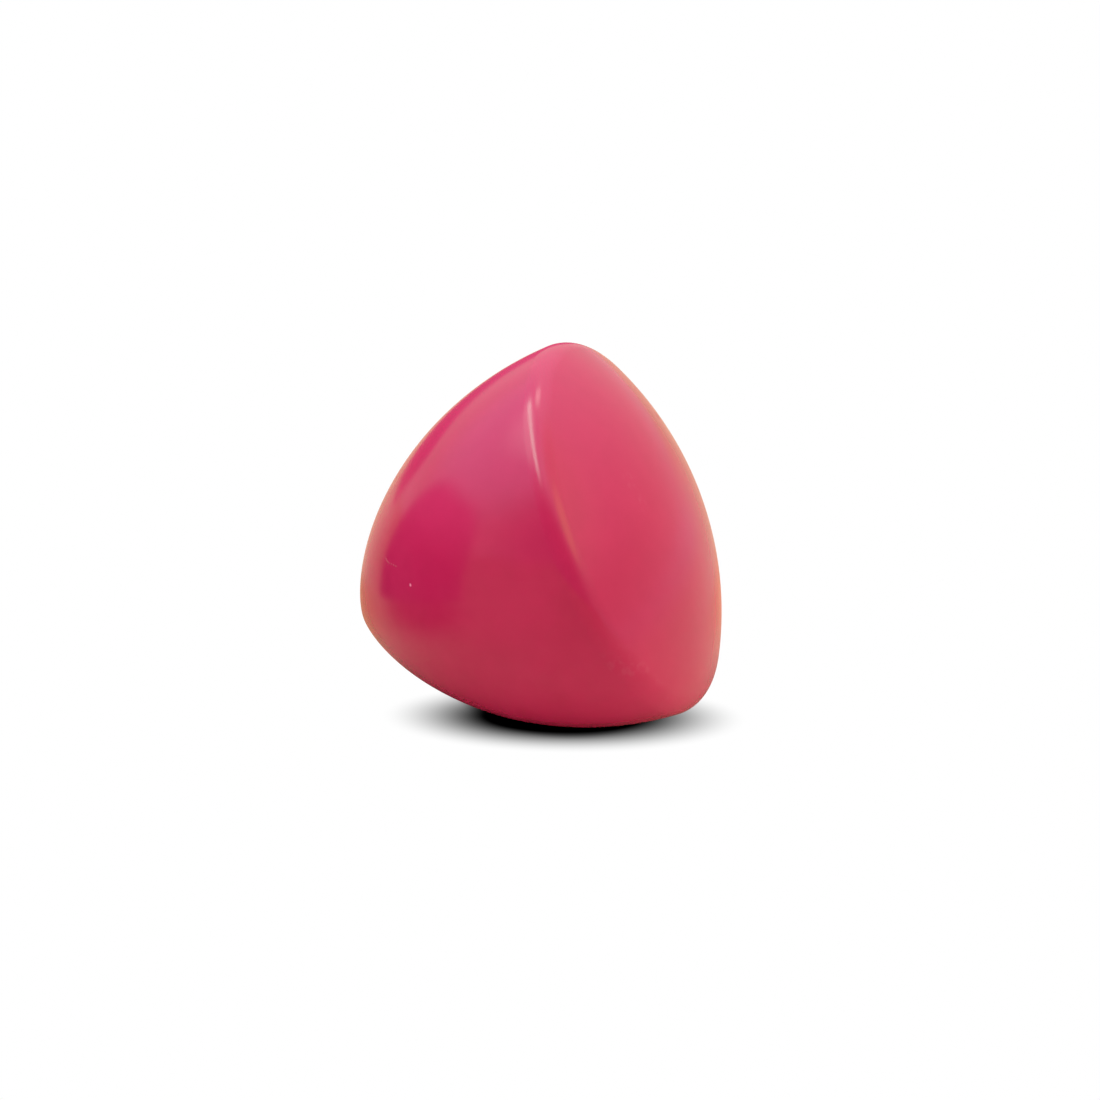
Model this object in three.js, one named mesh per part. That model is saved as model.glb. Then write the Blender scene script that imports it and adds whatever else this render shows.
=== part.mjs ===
// A solid of constant width in glossy pink resin, lying on its side on a flat surface.
//
// The shape is a Reuleaux triangle with rounded corners, turned about its axis of symmetry.
// It has a blunt tip, a side wall that bulges gently like a swollen cone, a soft ridge that
// runs once round the body, and a domed base. The distance between any two parallel planes
// that touch it is WIDTH, whichever way the body is turned.
//
// Millimetres, +Z up. The body lies on its side wall, with its tip towards -X and lower than
// its base. The origin is the middle of the bottom of its bounding box, so it lies on Z = 0.

import * as THREE from "three";

// Driving dimensions
const WIDTH = 45; // between any two parallel tangent planes
const EDGE_RADIUS = 3.2; // of the tip and of the ridge, in section

// Fineness of the surface
const TIP_STEPS = 4; // over 30 degrees of section
const SIDE_STEPS = 24; // over 60 degrees
const RIDGE_STEPS = 8; // over 60 degrees
const BASE_STEPS = 8; // over 30 degrees
const TURN_STEPS = 72; // round the axis

// The sharp Reuleaux triangle inside the rounding: its three corners, as (radius, height)
const INNER_WIDTH = WIDTH - 2 * EDGE_RADIUS;
const CIRCUMRADIUS = INNER_WIDTH / Math.sqrt(3);
const TIP_CORNER = new THREE.Vector2(0, CIRCUMRADIUS);
const NEAR_CORNER = new THREE.Vector2(INNER_WIDTH / 2, -CIRCUMRADIUS / 2);
const FAR_CORNER = new THREE.Vector2(-INNER_WIDTH / 2, -CIRCUMRADIUS / 2);
const FACE_RADIUS = INNER_WIDTH + EDGE_RADIUS;

// The arcs of the section from the tip to the middle of the base. Each is centred on a
// corner of the inner triangle, and each spans a range of the angle between the surface's
// normal and the axis.
const ARCS = [
  { centre: TIP_CORNER, radius: EDGE_RADIUS, from: 0, to: 30, steps: TIP_STEPS },
  { centre: FAR_CORNER, radius: FACE_RADIUS, from: 30, to: 90, steps: SIDE_STEPS },
  { centre: NEAR_CORNER, radius: EDGE_RADIUS, from: 90, to: 150, steps: RIDGE_STEPS },
  { centre: TIP_CORNER, radius: FACE_RADIUS, from: 150, to: 180, steps: BASE_STEPS },
];

function pointAt(arc, step) {
  const degrees = arc.from + ((arc.to - arc.from) * step) / arc.steps;
  const angle = THREE.MathUtils.degToRad(degrees);
  const outward = new THREE.Vector2(Math.sin(angle), Math.cos(angle));
  return outward.multiplyScalar(arc.radius).add(arc.centre);
}

// The section from the base up to the tip, as LatheGeometry needs it for faces that point out.
function section() {
  const points = [pointAt(ARCS[0], 0)];
  for (const arc of ARCS) {
    for (let step = 1; step <= arc.steps; step += 1) points.push(pointAt(arc, step));
  }
  points[0].x = 0;
  points[points.length - 1].x = 0;
  return points.reverse();
}

// The height on the axis of the solid's centre of mass: each slice between two points of
// the section is a cone's frustum.
function centreOfMass(points) {
  let volume = 0;
  let moment = 0;
  for (let i = 1; i < points.length; i += 1) {
    const [a, b] = [points[i - 1], points[i]];
    const slice = ((b.y - a.y) * (a.x * a.x + a.x * b.x + b.x * b.x)) / 3;
    volume += slice;
    moment += (slice * (a.y + b.y)) / 2;
  }
  return moment / volume;
}

// Lying on its side, the body comes to rest where the normal at the contact passes through
// the centre of mass. All normals of the side wall pass through the far corner.
function restingAngle(points) {
  return Math.atan2(-FAR_CORNER.x, centreOfMass(points) - FAR_CORNER.y);
}

function castBody(points) {
  // Half a step of turn puts a facet, not an edge, underneath.
  const geometry = new THREE.LatheGeometry(points, TURN_STEPS, Math.PI / TURN_STEPS);
  const material = new THREE.MeshStandardMaterial({
    color: new THREE.Color().setRGB(0.86, 0.13, 0.29, THREE.SRGBColorSpace),
    roughness: 0.18,
    metalness: 0,
  });
  const mesh = new THREE.Mesh(geometry, material);
  mesh.name = "cast_body";
  mesh.rotation.x = Math.PI / 2; // the lathe's axis, +Y, becomes +Z
  return mesh;
}

// Tips the upright body over onto its side and stands it on Z = 0.
function laidDown(mesh, angle) {
  const tipped = new THREE.Group();
  tipped.rotation.y = angle - Math.PI;
  tipped.add(mesh);
  const part = new THREE.Group();
  part.add(tipped);
  const box = new THREE.Box3().setFromObject(part, true);
  const middle = box.getCenter(new THREE.Vector3());
  tipped.position.set(-middle.x, -middle.y, -box.min.z);
  return part;
}

const outline = section();
export default laidDown(castBody(outline), restingAngle(outline));
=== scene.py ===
"""A solid of constant width in glossy pink resin, lying on its side on a pale floor."""

import math

import bmesh
import bpy
from mathutils import Matrix, Vector, noise


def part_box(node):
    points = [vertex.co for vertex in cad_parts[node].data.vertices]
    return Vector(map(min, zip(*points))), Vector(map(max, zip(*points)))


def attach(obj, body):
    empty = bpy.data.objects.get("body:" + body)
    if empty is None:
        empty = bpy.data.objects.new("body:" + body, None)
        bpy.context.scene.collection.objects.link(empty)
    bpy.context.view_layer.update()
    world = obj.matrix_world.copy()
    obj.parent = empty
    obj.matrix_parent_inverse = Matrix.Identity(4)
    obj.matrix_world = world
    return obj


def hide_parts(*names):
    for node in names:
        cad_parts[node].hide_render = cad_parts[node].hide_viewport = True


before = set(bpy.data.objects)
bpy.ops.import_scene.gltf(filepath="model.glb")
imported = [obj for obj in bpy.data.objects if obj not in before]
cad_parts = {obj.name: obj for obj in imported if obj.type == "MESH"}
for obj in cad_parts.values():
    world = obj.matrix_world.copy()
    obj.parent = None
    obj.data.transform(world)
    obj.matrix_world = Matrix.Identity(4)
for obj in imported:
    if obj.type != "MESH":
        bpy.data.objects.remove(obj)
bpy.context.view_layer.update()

# ---------------------------------------------------------------- sizes, in metres
MM = 0.001
LOW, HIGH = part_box("cast_body")
WIDTH = HIGH.z - LOW.z  # between any two parallel planes that touch the body
EDGE_RADIUS = WIDTH * 3.2 / 45
INNER_WIDTH = WIDTH - 2 * EDGE_RADIUS
CIRCUMRADIUS = INNER_WIDTH / math.sqrt(3)
FACE_RADIUS = INNER_WIDTH + EDGE_RADIUS

# Corners of the sharp triangle inside the rounding, as (radius, height on the axis)
TIP_CORNER = Vector((0, CIRCUMRADIUS))
NEAR_CORNER = Vector((INNER_WIDTH / 2, -CIRCUMRADIUS / 2))
FAR_CORNER = Vector((-INNER_WIDTH / 2, -CIRCUMRADIUS / 2))

# The arcs of the section: corner, radius, the normal's angle from the axis at both ends, steps
ARCS = (
    (TIP_CORNER, EDGE_RADIUS, 0, 30, 16),
    (FAR_CORNER, FACE_RADIUS, 30, 90, 110),
    (NEAR_CORNER, EDGE_RADIUS, 90, 150, 40),
    (TIP_CORNER, FACE_RADIUS, 150, 180, 56),
)
TURN_STEPS = 320


def section():
    """From tip to base: point (radius, height), the normal's angle, 1 on a rounding and 0 elsewhere."""
    stops = [(Vector((0, CIRCUMRADIUS + EDGE_RADIUS)), 0.0, 1.0)]
    for corner, radius, start, end, steps in ARCS:
        for step in range(1, steps + 1):
            angle = math.radians(start + (end - start) * step / steps)
            point = corner + radius * Vector((math.sin(angle), math.cos(angle)))
            stops.append((point, angle, 1.0 if radius == EDGE_RADIUS else 0.0))
    stops[-1][0].x = 0
    return stops


def centre_of_mass(stops):
    """Height on the axis, slice by slice, each slice a cone's frustum."""
    volume = moment = 0.0
    points = [point for point, _, _ in stops]
    for a, b in zip(points, points[1:]):
        piece = (a.y - b.y) * (a.x**2 + a.x * b.x + b.x**2)
        volume += piece
        moment += piece * (a.y + b.y) / 2
    return moment / volume


SECTION = section()
REST_ANGLE = math.atan2(-FAR_CORNER.x, centre_of_mass(SECTION) - FAR_CORNER.y)


def upright_to_lying():
    """Takes the upright body, its tip up, to where the CAD body lies: tipped towards -X, on the floor."""
    turn = Matrix.Rotation(REST_ANGLE - math.pi, 4, "Y")
    tip_side = EDGE_RADIUS + CIRCUMRADIUS * math.sin(REST_ANGLE)
    lowest = FACE_RADIUS + FAR_CORNER.x * math.sin(REST_ANGLE) + FAR_CORNER.y * math.cos(REST_ANGLE)
    return Matrix.Translation((LOW.x + tip_side, (LOW.y + HIGH.y) / 2, LOW.z + lowest)) @ turn


LYING = upright_to_lying()
CENTRE = LYING.translation


def on_body(slant, turn):
    """The point of the upright body where the normal has this slant from the axis and this turn round it."""
    corner, radius = next(arc[:2] for arc in ARCS if arc[2] <= slant <= arc[3])
    s, t = math.radians(slant), math.radians(turn)
    flat = corner + radius * Vector((math.sin(s), math.cos(s)))
    return Vector((flat.x * math.cos(t), flat.x * math.sin(t), flat.y))


# ---------------------------------------------------------------- helpers
def direction(azimuth, elevation):
    """A unit vector, from angles in degrees: azimuth 0 is +Y and 90 is +X."""
    a, e = math.radians(azimuth), math.radians(elevation)
    return Vector((math.sin(a) * math.cos(e), math.cos(a) * math.cos(e), math.sin(e)))


def put(name, data):
    thing = bpy.data.objects.new(name, data)
    bpy.context.scene.collection.objects.link(thing)
    return thing


def four_sided(name, corners):
    mesh = bpy.data.meshes.new(name)
    mesh.from_pydata(corners, [], [(0, 1, 2, 3)])
    return mesh


def new_material(name):
    material = bpy.data.materials.new(name)
    material.use_nodes = True
    material.node_tree.nodes.clear()
    return material, material.node_tree


def add(tree, kind, inputs=None, **settings):
    """Adds a node. Each of its inputs is set to a value or linked to another node's output."""
    node = tree.nodes.new(kind)
    for key, value in settings.items():
        setattr(node, key, value)
    for key, value in (inputs or {}).items():
        if isinstance(value, bpy.types.NodeSocket):
            tree.links.new(value, node.inputs[key])
        else:
            node.inputs[key].default_value = value
    return node


def maths(tree, operation, a, b=0.0):
    return add(tree, "ShaderNodeMath", {0: a, 1: b}, operation=operation).outputs[0]


def plus(tree, start, *weighted):
    """Start plus every other value times its weight."""
    for value, weight in weighted:
        start = maths(tree, "ADD", start, maths(tree, "MULTIPLY", value, weight))
    return start


def dot(tree, a, b):
    return add(tree, "ShaderNodeVectorMath", {0: a, 1: b}, operation="DOT_PRODUCT").outputs["Value"]


def mix_colour(tree, factor, a, b):
    return add(tree, "ShaderNodeMix", {0: factor, 6: a, 7: b}, data_type="RGBA").outputs[2]


def mix_shader(tree, factor, a, b):
    return add(tree, "ShaderNodeMixShader", {0: factor, 1: a.outputs[0], 2: b.outputs[0]})


def remap(tree, value, low, high, to_low=0, to_high=1, kind="LINEAR"):
    """Takes low to to_low and high to to_high, and goes no further beyond them."""
    inputs = {0: value, 1: low, 2: high, 3: to_low, 4: to_high}
    return add(tree, "ShaderNodeMapRange", inputs, interpolation_type=kind).outputs[0]


def fade(tree, value, low, high, to_low=0, to_high=1):
    """As remap, with a soft start and end."""
    return remap(tree, value, low, high, to_low, to_high, kind="SMOOTHSTEP")


def within(tree, place, centre, inner, outer):
    """1 inside the inner radius of the centre, 0 outside the outer one."""
    far = add(tree, "ShaderNodeVectorMath", {0: place, 1: centre}, operation="DISTANCE").outputs["Value"]
    return fade(tree, far, inner, outer, 1, 0)


def noise_at(tree, place, size, detail=2.0, rough=0.5, twist=0.0):
    """Noise whose lumps are about as big as size."""
    inputs = {"Vector": place, "Scale": 1 / size, "Detail": detail, "Roughness": rough, "Distortion": twist}
    return add(tree, "ShaderNodeTexNoise", inputs).outputs[0]


# ---------------------------------------------------------------- resin
PINK_DEEP = (0.452, 0.0080, 0.0590, 1)
PINK_PALE = (0.500, 0.0105, 0.0680, 1)
SCUFF_PINK = (0.62, 0.10, 0.17, 1)
DUST_PINK = (0.80, 0.22, 0.32, 1)
CLOUD_SIZE = 14 * MM
MOTTLE_SIZE = 2.2 * MM
MOTTLE_STRENGTH = 0.16
NOISE_SPAN = (0.3, 0.7)  # noise mostly keeps between these

# Marks from handling, as (slant, turn) on the upright body, in degrees
SPECK = (63.0, -68.0)
HAIR = ((57.5, -53.5), (58.3, -56.0), (60.3, -59.0))
NICK = (162.0, 48.0)
SCUFFS = ((165.0, -64.5), (163.5, -52.0), (12.0, 100.0), (118.0, 170.0))
SPECK_RADII = (0.07 * MM, 0.26 * MM)
HAIR_WIDTH = 0.16 * MM
HAIR_TINT = 0.35
STROKE_PARTS = 3
STROKE_CORE = 0.2  # the part of its width that doesn't fade

# Scuffs: gritty wear at the places above and, in stretches, along the roundings
SCUFF_RADII = (0.2 * MM, 1.5 * MM)
SCUFF_TINT = 0.22
GRIT_SIZE = 0.9 * MM
GRIT_SPAN = (0.46, 0.68)
GRIT_STRENGTH = 0.45
STRETCH_SIZE = 7 * MM
STRETCH_SPAN = (0.52, 0.66)

# Wiping scratches: the turn and the fineness of each set, and the squeeze that draws them out
SCRATCHES = (((0.5, 0.3, 0.4), 0.45 * MM), ((1.3, -0.4, 2.1), 0.38 * MM))
SCRATCH_SQUEEZE = 0.03
CREST_SPAN = (0.66, 0.74)
RUBBED_SIZE = 11 * MM
RUBBED_SPAN = (0.5, 0.65)

# Gloss
SMEAR_SIZE = 8 * MM
ROUGHNESS = (0.125, 0.195)
SCUFF_ROUGHNESS = 0.16
SCRATCH_ROUGHNESS = 0.05
IOR = 1.5

# Fine relief, its heights and depths in millimetres
PEEL_SIZE = 2.4 * MM
PEEL_HEIGHT = 0.0030
PINHOLE_SPACING = 3.2 * MM
PINHOLE_RADII = (0.02, 0.075)  # as parts of the spacing
PINHOLE_DEPTH = 0.002
SCRATCH_DEPTH = 0.0006
SCUFF_DEPTH = 0.0009
DUST_HEIGHT = 0.03

# How the skin lies inside the true shape: long waves, and a shallow dent at the nick
WAVE_LENGTH = 9 * MM
WAVE_HEIGHT = 0.010 * MM
DENT_RADIUS = 1.1 * MM
DENT_DEPTH = 0.08 * MM


def mark_at(slant, turn):
    return LYING @ on_body(slant, turn)


def pigment(tree, place):
    """Pigment that settled a little unevenly, with a faint finer mottle."""
    clouds = noise_at(tree, place, CLOUD_SIZE, detail=3.0, twist=0.6)
    cloud = remap(tree, clouds, *NOISE_SPAN)
    lumps = noise_at(tree, place, MOTTLE_SIZE, detail=3.0)
    mottle = remap(tree, lumps, *NOISE_SPAN, -MOTTLE_STRENGTH, MOTTLE_STRENGTH)
    return mix_colour(tree, maths(tree, "ADD", cloud, mottle), PINK_DEEP, PINK_PALE)


def scuffs(tree, place):
    rounding = add(tree, "ShaderNodeAttribute", attribute_name="edge").outputs["Fac"]
    stretches = fade(tree, noise_at(tree, place, STRETCH_SIZE), *STRETCH_SPAN)
    worn = maths(tree, "MULTIPLY", rounding, stretches)
    for mark in SCUFFS:
        worn = maths(tree, "MAXIMUM", worn, within(tree, place, mark_at(*mark), *SCUFF_RADII))
    grit = fade(tree, noise_at(tree, place, GRIT_SIZE), *GRIT_SPAN, 0, GRIT_STRENGTH)
    return maths(tree, "MULTIPLY", worn, grit)


def hairlines(tree, place, turn, finest):
    """Noise drawn out along one direction, only its crests kept."""
    inputs = {"Vector": place, "Rotation": turn, "Scale": (1, SCRATCH_SQUEEZE, 1)}
    drawn = add(tree, "ShaderNodeMapping", inputs, vector_type="POINT").outputs[0]
    return fade(tree, noise_at(tree, drawn, finest, detail=1.0), *CREST_SPAN)


def scratches(tree, place):
    """Two sets of hairlines, kept where the skin was rubbed."""
    sets = [hairlines(tree, place, turn, finest) for turn, finest in SCRATCHES]
    rubbed = fade(tree, noise_at(tree, place, RUBBED_SIZE, detail=1.0), *RUBBED_SPAN)
    return maths(tree, "MULTIPLY", maths(tree, "MAXIMUM", *sets), rubbed)


def stroke(tree, place, points, width):
    """1 along a short line through the points, fading at its sides."""
    steps = [step / STROKE_PARTS for step in range(STROKE_PARTS + 1)]
    dots = [a.lerp(b, step) for a, b in zip(points, points[1:]) for step in steps]
    near = [within(tree, place, centre, STROKE_CORE * width, width) for centre in dots]
    reach = near[0]
    for other in near[1:]:
        reach = maths(tree, "MAXIMUM", reach, other)
    return reach


def relief(tree, place, scuffed, scratched, dust):
    """Height in millimetres: moulded orange peel and pinholes, the wear and the dust."""
    peel = noise_at(tree, place, PEEL_SIZE)
    cells = {"Vector": place, "Scale": 1 / PINHOLE_SPACING}
    distance = add(tree, "ShaderNodeTexVoronoi", cells).outputs["Distance"]
    pinholes = fade(tree, distance, *PINHOLE_RADII, 1, 0)
    return plus(
        tree,
        maths(tree, "MULTIPLY", peel, PEEL_HEIGHT),
        (pinholes, -PINHOLE_DEPTH),
        (scratched, -SCRATCH_DEPTH),
        (scuffed, -SCUFF_DEPTH),
        (dust, DUST_HEIGHT),
    )


def resin():
    """Pink resin with wear, a grain of pale dust cast into the skin and a short curled hair beside it."""
    material, tree = new_material("pink_resin")
    place = add(tree, "ShaderNodeTexCoord").outputs["Object"]
    scuffed = scuffs(tree, place)
    scratched = scratches(tree, place)
    speck = within(tree, place, mark_at(*SPECK), *SPECK_RADII)
    hair = stroke(tree, place, [mark_at(*point) for point in HAIR], HAIR_WIDTH)

    colour = pigment(tree, place)
    colour = mix_colour(tree, maths(tree, "MULTIPLY", scuffed, SCUFF_TINT), colour, SCUFF_PINK)
    colour = mix_colour(tree, speck, colour, DUST_PINK)
    colour = mix_colour(tree, maths(tree, "MULTIPLY", hair, HAIR_TINT), colour, SCUFF_PINK)

    smear = noise_at(tree, place, SMEAR_SIZE, detail=5.0, rough=0.6, twist=0.4)
    smeared = remap(tree, smear, *NOISE_SPAN, *ROUGHNESS)
    roughness = plus(tree, smeared, (scuffed, SCUFF_ROUGHNESS), (scratched, SCRATCH_ROUGHNESS))

    height = relief(tree, place, scuffed, scratched, maths(tree, "MAXIMUM", speck, hair))
    normal = add(tree, "ShaderNodeBump", {"Height": height, "Distance": MM, "Strength": 1.0}).outputs[0]
    inputs = {"Base Color": colour, "Roughness": roughness, "IOR": IOR, "Normal": normal}
    shader = add(tree, "ShaderNodeBsdfPrincipled", inputs)
    add(tree, "ShaderNodeOutputMaterial", {"Surface": shader.outputs[0]})
    return material


def weathered(place, normal):
    """Moves a point of the true surface to the cast skin."""
    lift = WAVE_HEIGHT * (noise.noise(place / WAVE_LENGTH) - 1)
    inside = max(0.0, 1 - ((place - on_body(*NICK)).length / DENT_RADIUS) ** 2)
    return place + normal * (lift - DENT_DEPTH * inside**2)


def ring(made, edge, point, slant, bend):
    """The corners of one turn round the axis, or the one corner on it."""
    turns = TURN_STEPS if point.x > 0 else 1
    corners = []
    for step in range(turns):
        turn = 2 * math.pi * step / turns
        out = Vector((math.cos(turn), math.sin(turn), 0))
        place = out * point.x + Vector((0, 0, point.y))
        normal = out * math.sin(slant) + Vector((0, 0, math.cos(slant)))
        corner = made.verts.new(weathered(place, normal))
        corner[edge] = bend
        corners.append(corner)
    return corners


def cast_body():
    """The section turned round its axis, laid down as the CAD body lies."""
    made = bmesh.new()
    edge = made.verts.layers.float.new("edge")
    rings = [ring(made, edge, *stop) for stop in SECTION]
    for above, below in zip(rings, rings[1:]):
        for step in range(TURN_STEPS):
            after = (step + 1) % TURN_STEPS
            if len(above) == 1:
                made.faces.new((above[0], below[step], below[after]))
            elif len(below) == 1:
                made.faces.new((above[step], below[0], above[after]))
            else:
                made.faces.new((above[step], below[step], below[after], above[after]))
    made.transform(LYING)
    mesh = bpy.data.meshes.new("resin_body")
    made.to_mesh(mesh)
    made.free()
    mesh.polygons.foreach_set("use_smooth", [True] * len(mesh.polygons))
    mesh.materials.append(resin())
    body = put("resin_body", mesh)
    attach(body, "root")
    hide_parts("cast_body")


# ---------------------------------------------------------------- floor
FLOOR_HALF = 20 * WIDTH
CONTACT = Vector((0.047 * WIDTH, 0, 0))  # where the body touches the floor

# Painted shadow in the narrow gap, from how much sky the body hides: how far to look for the body, and how
# open the sky is where it is black and white
GAP_REACH = 0.055 * WIDTH
GAP_SAMPLES = 32
GAP_OPENNESS = (0.12, 0.64)
# The soft elliptical pool of painted shadow round it: its edge says, in radii, where it starts to fade and
# where it ends
PAINTED_SHADOW_CENTRE = Vector((0.103 * WIDTH, -0.077 * WIDTH, 0))
PAINTED_SHADOW_HEADING = 76
PAINTED_SHADOW_RADII = (0.353 * WIDTH, 0.131 * WIDTH)
PAINTED_SHADOW_EDGE = (0.60, 1.42)

# The floor as the gloss sees it, a warm table top: paler on the lit side and farther out, ochre behind.
# The paler side is painted light, and the darker side away from it is painted shade.
PAINTED_LIGHT_SIDE = 30
TONE_REACH = 1.2 * WIDTH
FAR_RADII = (1.5 * WIDTH, 5 * WIDTH)
BACK_SIDE = -20
BACK_SPREAD = (58, 24)
TABLE_PAINTED_LIT = (0.60, 0.45, 0.33, 1)
TABLE_PAINTED_SHADE = (0.34, 0.25, 0.125, 1)
TABLE_FAR_PAINTED_LIT = (0.60, 0.46, 0.46, 1)
TABLE_BACK = (0.53, 0.41, 0.245, 1)
# Place, inner and outer radius in body widths, colour: amber behind, brown to the left, painted shade
# under the body and painted shade at the left card's foot
TABLE_TINTS_AND_PAINTED_SHADE = (
    ((0.45, 0.85, 0), 0.15, 0.65, (0.58, 0.34, 0.19, 1)),
    ((-0.78, 0.30, 0), 0.15, 0.55, (0.42, 0.25, 0.11, 1)),
    # Painted shade under the body
    ((0.0, 0.03, 0), 0.15, 0.70, (0.14, 0.040, 0.022, 1)),
    # Painted shade at the left card's foot, as its shadow
    ((-1.03, -0.54, 0), 0.20, 0.60, (0.14, 0.055, 0.03, 1)),
)
# The floor as all other rays see it, with painted light and shade: paler on the lit side, darker away from
# it
BOUNCE_PAINTED_SHADE = (0.715, 0.67, 0.615, 1)
BOUNCE_PAINTED_LIT = (0.95, 0.89, 0.83, 1)


def shadow(tree, place):
    """Painted shadow: 1 on open floor, falling to 0 in the narrow gap under the body and in the soft pool
    round it.
    """
    sky = add(tree, "ShaderNodeAmbientOcclusion", {"Distance": GAP_REACH}, samples=GAP_SAMPLES).outputs["AO"]
    gap = fade(tree, sky, *GAP_OPENNESS)
    offset = add(tree, "ShaderNodeVectorMath", {0: place, 1: PAINTED_SHADOW_CENTRE}, operation="SUBTRACT").outputs[0]
    squares = []
    for heading, radius in zip((PAINTED_SHADOW_HEADING, PAINTED_SHADOW_HEADING + 90), PAINTED_SHADOW_RADII):
        part = dot(tree, offset, direction(heading, 0) / radius)
        squares.append(maths(tree, "MULTIPLY", part, part))
    pool = fade(tree, maths(tree, "SQRT", maths(tree, "ADD", *squares)), *PAINTED_SHADOW_EDGE)
    return maths(tree, "MULTIPLY", gap, pool)


def table_top(tree, place, away, tone):
    """Warm wood colour, with the darker and paler places that show in the gloss: painted light and shade."""
    far = add(tree, "ShaderNodeVectorMath", {0: away}, operation="LENGTH").outputs["Value"]
    # Painted light and shade: darker away from the lit side, paler towards it
    colour = mix_colour(tree, tone, TABLE_PAINTED_SHADE, TABLE_PAINTED_LIT)
    # Painted light: paler still farther out on the lit side
    paler = maths(tree, "MULTIPLY", tone, fade(tree, far, *FAR_RADII))
    colour = mix_colour(tree, paler, colour, TABLE_FAR_PAINTED_LIT)
    heading = add(tree, "ShaderNodeVectorMath", {0: away}, operation="NORMALIZE").outputs[0]
    spread = [math.cos(math.radians(angle)) for angle in BACK_SPREAD]
    behind = fade(tree, dot(tree, heading, direction(BACK_SIDE, 0)), *spread)
    colour = mix_colour(tree, behind, colour, TABLE_BACK)
    for spot, inner, outer, tint_and_painted_shade in TABLE_TINTS_AND_PAINTED_SHADE:
        inside = within(tree, place, Vector(spot) * WIDTH, inner * WIDTH, outer * WIDTH)
        colour = mix_colour(tree, inside, colour, tint_and_painted_shade)
    return colour


def floor():
    """White to the eye but for a painted shadow, clear from below; in the body's gloss it is a warm table
    top.
    """
    material, tree = new_material("floor")
    rays = add(tree, "ShaderNodeLightPath").outputs
    place = add(tree, "ShaderNodeTexCoord").outputs["Object"]
    # Emitted white, darkened by the painted shadow
    white = add(tree, "ShaderNodeEmission", {"Color": shadow(tree, place)})
    from_below = add(tree, "ShaderNodeNewGeometry").outputs["Backfacing"]
    seen = mix_shader(tree, from_below, white, add(tree, "ShaderNodeBsdfTransparent"))

    away = add(tree, "ShaderNodeVectorMath", {0: place, 1: CONTACT}, operation="SUBTRACT").outputs[0]
    # How far towards the lit side, for the painted light and shade of the floor
    tone = fade(tree, dot(tree, away, direction(PAINTED_LIGHT_SIDE, 0)), -TONE_REACH, TONE_REACH)
    table = add(tree, "ShaderNodeBsdfDiffuse", {"Color": table_top(tree, place, away, tone)})
    # Painted light and shade in the bounce too, by the same tone
    pale = mix_colour(tree, tone, BOUNCE_PAINTED_SHADE, BOUNCE_PAINTED_LIT)
    bounce = add(tree, "ShaderNodeBsdfDiffuse", {"Color": pale})
    unseen = mix_shader(tree, rays["Is Glossy Ray"], bounce, table)
    either = mix_shader(tree, rays["Is Camera Ray"], unseen, seen)
    add(tree, "ShaderNodeOutputMaterial", {"Surface": either.outputs[0]})

    h = FLOOR_HALF
    mesh = four_sided("floor", [(-h, -h, 0), (h, -h, 0), (h, h, 0), (-h, h, 0)])
    mesh.materials.append(material)
    put("floor", mesh)


# ---------------------------------------------------------------- light
# Cards that only the gloss sees, in body widths: foot (x, y), the way it faces, half width, height,
# how square it is (2 is an arch), colour at the foot, colour at the top
# Each card glows; the darker colour at its foot is painted shade
CARDS = {
    "card_left": ((-1.13, -0.54), 90, 0.61, 1.16, 3.8, (0.05, 0.035, 0.08, 1), (0.90, 0.26, 0.56, 1)),
    "card_back": ((-3.45, 4.92), 145, 3.3, 1.9, 5, (0.66, 0.13, 0.24, 1), (0.74, 0.15, 0.34, 1)),
}
# As parts of a card's size: where its foot's darker colour, a painted shade, gives way to its top's, and
# where its rim fades out
CARD_BLEND = (0.4, 0.85)
CARD_RIM = (0.82, 1.0)

# Soft patches of the dome: azimuth, elevation, inner and outer half angle, colour
PATCHES = {
    "sky_left": (-95, 50, 15, 48, (1.38, 1.24, 1.84, 1)),
    "glow_right": (98, 48, 12, 40, (1.50, 1.35, 1.15, 1)),
    "window_left": (-94, 60, 6, 28, (3.0, 3.0, 3.5, 1)),
    "window_back": (-17, 67, 2, 9, (4.2, 4.4, 4.4, 1)),
    "window_right": (117, 40, 3, 20, (2.7, 2.1, 1.2, 1)),
    "behind_camera": (178, 8, 22, 62, (0.28, 0.26, 0.34, 1)),
}
# A long thin lamp: the directions of its two ends, then in degrees its half width, the softness of its sides
# and the length over which each end fades, and its colour
LAMP_ENDS = ((-57, 55), (-172, 53))
LAMP_HALF_WIDTH = 5.0
LAMP_SOFTNESS = 3.6
LAMP_FADES = (4, 20)
LAMP_COLOUR = (4.7, 7.0, 6.5, 1)
# The dome's colour by the height of the direction, from 0 at the horizon to 1 overhead
DOME = (
    (0.15, (0.88, 0.68, 0.66, 1)),
    (0.38, (1.08, 0.84, 0.93, 1)),
    (0.61, (1.40, 1.18, 1.40, 1)),
    (0.79, (1.65, 1.55, 1.85, 1)),
    (0.92, (1.90, 1.85, 2.20, 1)),
)
WHITE = (1, 1, 1, 1)


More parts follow.
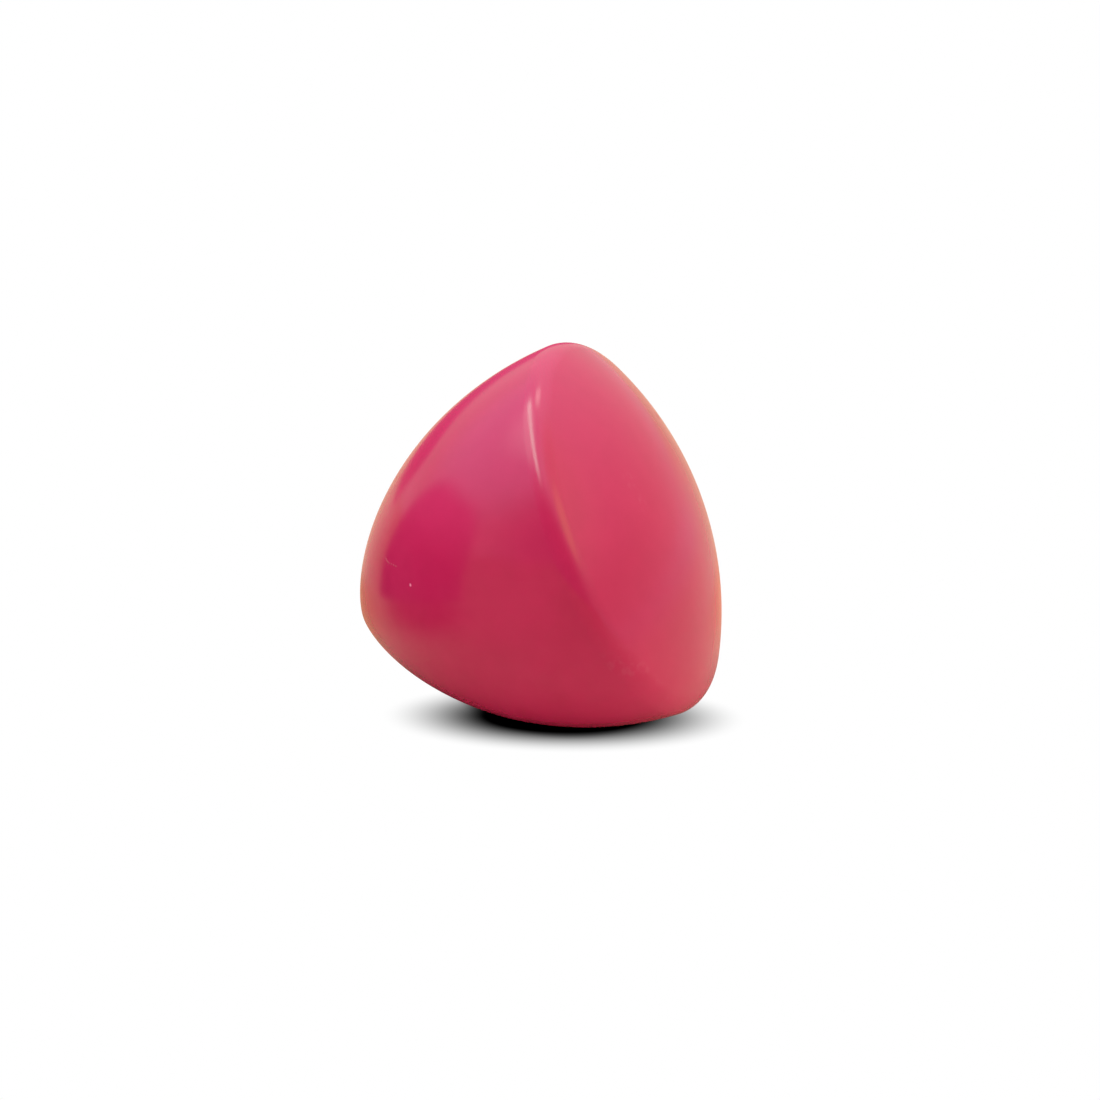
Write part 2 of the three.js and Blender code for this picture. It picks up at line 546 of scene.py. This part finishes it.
def card_material(name, squareness, foot_colour_with_painted_shade, high_colour):
    """Across the card the map runs from -1 to 1, and up it from 0 to 1."""
    material, tree = new_material(name)
    place = add(tree, "ShaderNodeUVMap", uv_map="spread").outputs[0]
    across, up = add(tree, "ShaderNodeSeparateXYZ", {0: place}).outputs[:2]
    powers = [maths(tree, "POWER", maths(tree, "ABSOLUTE", side), squareness) for side in (across, up)]
    radius = maths(tree, "POWER", maths(tree, "ADD", *powers), 1 / squareness)
    # The card glows darker towards its foot: painted shade
    colour = mix_colour(tree, fade(tree, up, *CARD_BLEND), foot_colour_with_painted_shade, high_colour)
    glow = add(tree, "ShaderNodeEmission", {"Color": colour})
    clear = add(tree, "ShaderNodeBsdfTransparent")
    both = mix_shader(tree, fade(tree, radius, *CARD_RIM), glow, clear)
    add(tree, "ShaderNodeOutputMaterial", {"Surface": both.outputs[0]})
    return material


def card(name, foot, facing, half_width, height, *finish):
    """An upright card with a rounded top and a soft rim, its foot on the floor."""
    across = direction(facing + 90, 0) * half_width * WIDTH
    up = Vector((0, 0, height * WIDTH))
    base = Vector((*foot, 0)) * WIDTH
    mesh = four_sided(name, [base - across, base + across, base + across + up, base - across + up])
    spread = mesh.uv_layers.new(name="spread")
    for loop, corner in zip(spread.data, ((-1, 0), (1, 0), (1, 1), (-1, 1))):
        loop.uv = corner
    mesh.materials.append(card_material(name, *finish))
    panel = put(name, mesh)
    panel.visible_camera = False
    panel.visible_diffuse = False
    panel.visible_shadow = False


def lamp(tree, ray, colour):
    """Lays the lamp over colour: a band along the plane through its two ends."""
    ends = [direction(*place) for place in LAMP_ENDS]
    off = dot(tree, ray, ends[0].cross(ends[1]).normalized())
    sides = [math.sin(math.radians(LAMP_HALF_WIDTH + s * LAMP_SOFTNESS)) for s in (-0.5, 0.5)]
    strength = fade(tree, maths(tree, "ABSOLUTE", off), *sides, 1, 0)
    length = ends[0].angle(ends[1])
    for other_end, soft in zip(reversed(ends), LAMP_FADES):
        reach = (math.cos(length), math.cos(length - math.radians(soft)))
        strength = maths(tree, "MULTIPLY", strength, fade(tree, dot(tree, ray, other_end), *reach))
    return mix_colour(tree, strength, colour, LAMP_COLOUR)


def studio():
    """The dome, its patches and the lamp light the body; the camera sees plain white."""
    world = bpy.data.worlds.new("studio")
    bpy.context.scene.world = world
    world.use_nodes = True
    tree = world.node_tree
    tree.nodes.clear()
    ray = add(tree, "ShaderNodeTexCoord").outputs["Generated"]
    height = add(tree, "ShaderNodeSeparateXYZ", {0: ray}).outputs[2]
    colour = DOME[0][1]
    for (low, _), (high, tone) in zip(DOME, DOME[1:]):
        colour = mix_colour(tree, remap(tree, height, low, high), colour, tone)
    for azimuth, elevation, inner, outer, tone in PATCHES.values():
        near = dot(tree, ray, direction(azimuth, elevation))
        inside = fade(tree, near, math.cos(math.radians(outer)), math.cos(math.radians(inner)))
        colour = mix_colour(tree, inside, colour, tone)
    colour = lamp(tree, ray, colour)
    seen = add(tree, "ShaderNodeLightPath").outputs["Is Camera Ray"]
    back = add(tree, "ShaderNodeBackground", {"Color": mix_colour(tree, seen, colour, WHITE)})
    add(tree, "ShaderNodeOutputWorld", {"Surface": back.outputs[0]})
    bpy.context.scene.view_settings.view_transform = "Standard"


# ---------------------------------------------------------------- camera
CAMERA_AZIMUTH = 16.0  # from -Y towards +X
CAMERA_ELEVATION = 24.4
CAMERA_DISTANCE = 3.53 * WIDTH
LENS = 43.5
SENSOR = 36
AIM_RIGHT = 0.0270 * WIDTH
AIM_UP = 0.0157 * WIDTH


def camera():
    data = bpy.data.cameras.new("camera")
    data.lens = LENS
    data.sensor_width = SENSOR
    data.clip_start = 10 * MM
    back = direction(180 - CAMERA_AZIMUTH, CAMERA_ELEVATION)
    right = direction(90 - CAMERA_AZIMUTH, 0)
    aim = CENTRE + right * AIM_RIGHT + back.cross(right) * AIM_UP
    eye = put("camera", data)
    eye.location = CENTRE + back * CAMERA_DISTANCE
    eye.rotation_mode = "QUATERNION"
    eye.rotation_quaternion = (aim - eye.location).to_track_quat("-Z", "Y")
    bpy.context.scene.camera = eye


camera()
cast_body()
floor()
for name, settings in CARDS.items():
    card(name, *settings)
studio()
